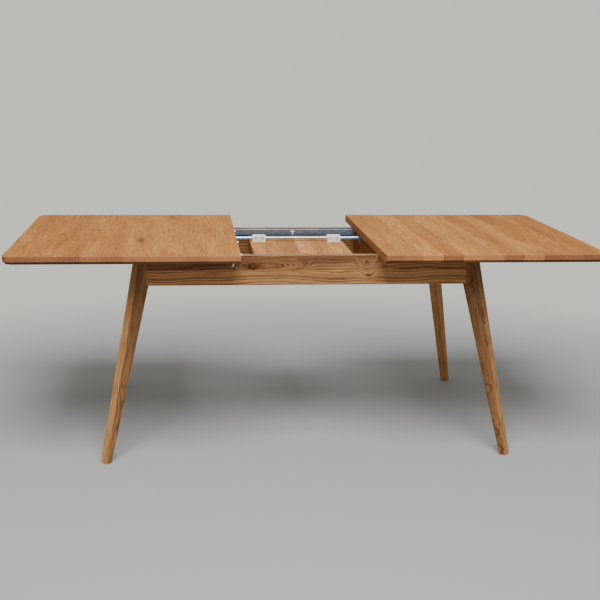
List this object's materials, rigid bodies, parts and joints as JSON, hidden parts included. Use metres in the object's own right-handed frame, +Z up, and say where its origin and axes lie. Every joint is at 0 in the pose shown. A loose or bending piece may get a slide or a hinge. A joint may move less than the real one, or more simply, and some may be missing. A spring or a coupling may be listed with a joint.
{
  "type": "extension dining table",
  "caption": "Oiled oak dining table with splayed plank legs; its top halves draw apart on steel runners so that a folded leaf in the well can be turned up on a rod.",
  "frame": {"origin": "on the floor under the middle of the table", "axes": "+X along the table's length, +Y to the side that the rod is nearer, +Z up"},
  "size_m": [2.1, 0.9, 0.75],
  "materials": {
    "oiled_oak": "oiled, satin",
    "inner_oak": "oiled, matte",
    "galvanised_steel": "galvanised",
    "zinc_plated_steel": "bright zinc plated",
    "white_nylon": "moulded"
  },
  "bodies": {
    "frame": {"apron_front": "oiled_oak", "apron_back": "oiled_oak", "apron_left": "oiled_oak", "apron_right": "oiled_oak", "leg_front_left": "oiled_oak", "leg_front_right": "oiled_oak", "leg_back_left": "oiled_oak", "leg_back_right": "oiled_oak", "cross_rail_left": "inner_oak", "cross_rail_right": "inner_oak", "leaf_rest_bar": "inner_oak", "corner_block_front_left": "inner_oak", "corner_block_front_right": "inner_oak", "corner_block_back_left": "inner_oak", "corner_block_back_right": "inner_oak", "runner_front": "galvanised_steel", "runner_back": "galvanised_steel", "rod_bracket_left": "galvanised_steel", "rod_bracket_right": "galvanised_steel", "pivot_rod": "zinc_plated_steel", "rod_sleeve_left": "zinc_plated_steel", "rod_sleeve_right": "zinc_plated_steel", "runner_screws": "zinc_plated_steel", "bracket_screws": "zinc_plated_steel", "leg_bolts": "zinc_plated_steel", "leg_washers": "zinc_plated_steel", "leg_nuts": "zinc_plated_steel", "runner_stop_front": "white_nylon", "runner_stop_back": "white_nylon"},
    "top_left": {"top_board_left": "oiled_oak", "slider_front_left": "galvanised_steel", "slider_back_left": "galvanised_steel", "slider_screws_left": "zinc_plated_steel", "alignment_dowels": "white_nylon", "latch_plate_front": "zinc_plated_steel", "latch_plate_back": "zinc_plated_steel", "latch_rivets": "zinc_plated_steel", "latch_screws": "zinc_plated_steel"},
    "top_right": {"top_board_right": "oiled_oak", "slider_front_right": "galvanised_steel", "slider_back_right": "galvanised_steel", "slider_screws_right": "zinc_plated_steel", "latch_keeper_front": "zinc_plated_steel", "latch_keeper_back": "zinc_plated_steel", "keeper_screws": "zinc_plated_steel"},
    "leaf": {"leaf_board_upper": "oiled_oak", "leaf_board_lower": "oiled_oak", "leaf_hinge_barrels": "zinc_plated_steel", "leaf_hinge_links": "zinc_plated_steel", "leaf_dowels": "white_nylon", "pivot_block_left": "white_nylon", "pivot_block_right": "white_nylon", "pivot_block_screws": "zinc_plated_steel"},
    "latch_front": {"latch_hook_front": "zinc_plated_steel"},
    "latch_back": {"latch_hook_back": "zinc_plated_steel"}
  },
  "joints": [
    {"name": "top_left_slide", "type": "slide", "parent": "frame", "child": "top_left", "axis": [1, 0, 0], "range_m": [0, 0.2498]},
    {"name": "top_right_slide", "type": "slide", "parent": "frame", "child": "top_right", "axis": [-1, 0, 0], "range_m": [0, 0.2498]},
    {"name": "leaf_flip", "type": "hinge", "parent": "frame", "child": "leaf", "pos_m": [0, 0.12, 0.709], "axis": [1, 0, 0], "range_deg": [-180, 0]},
    {"name": "latch_front_turn", "type": "hinge", "parent": "top_left", "child": "latch_front", "pos_m": [-0.276, -0.4, 0.72], "axis": [0, 0, -1], "range_deg": [0, 90]},
    {"name": "latch_back_turn", "type": "hinge", "parent": "top_left", "child": "latch_back", "pos_m": [-0.276, 0.4, 0.72], "axis": [0, 0, 1], "range_deg": [0, 90]}
  ]
}
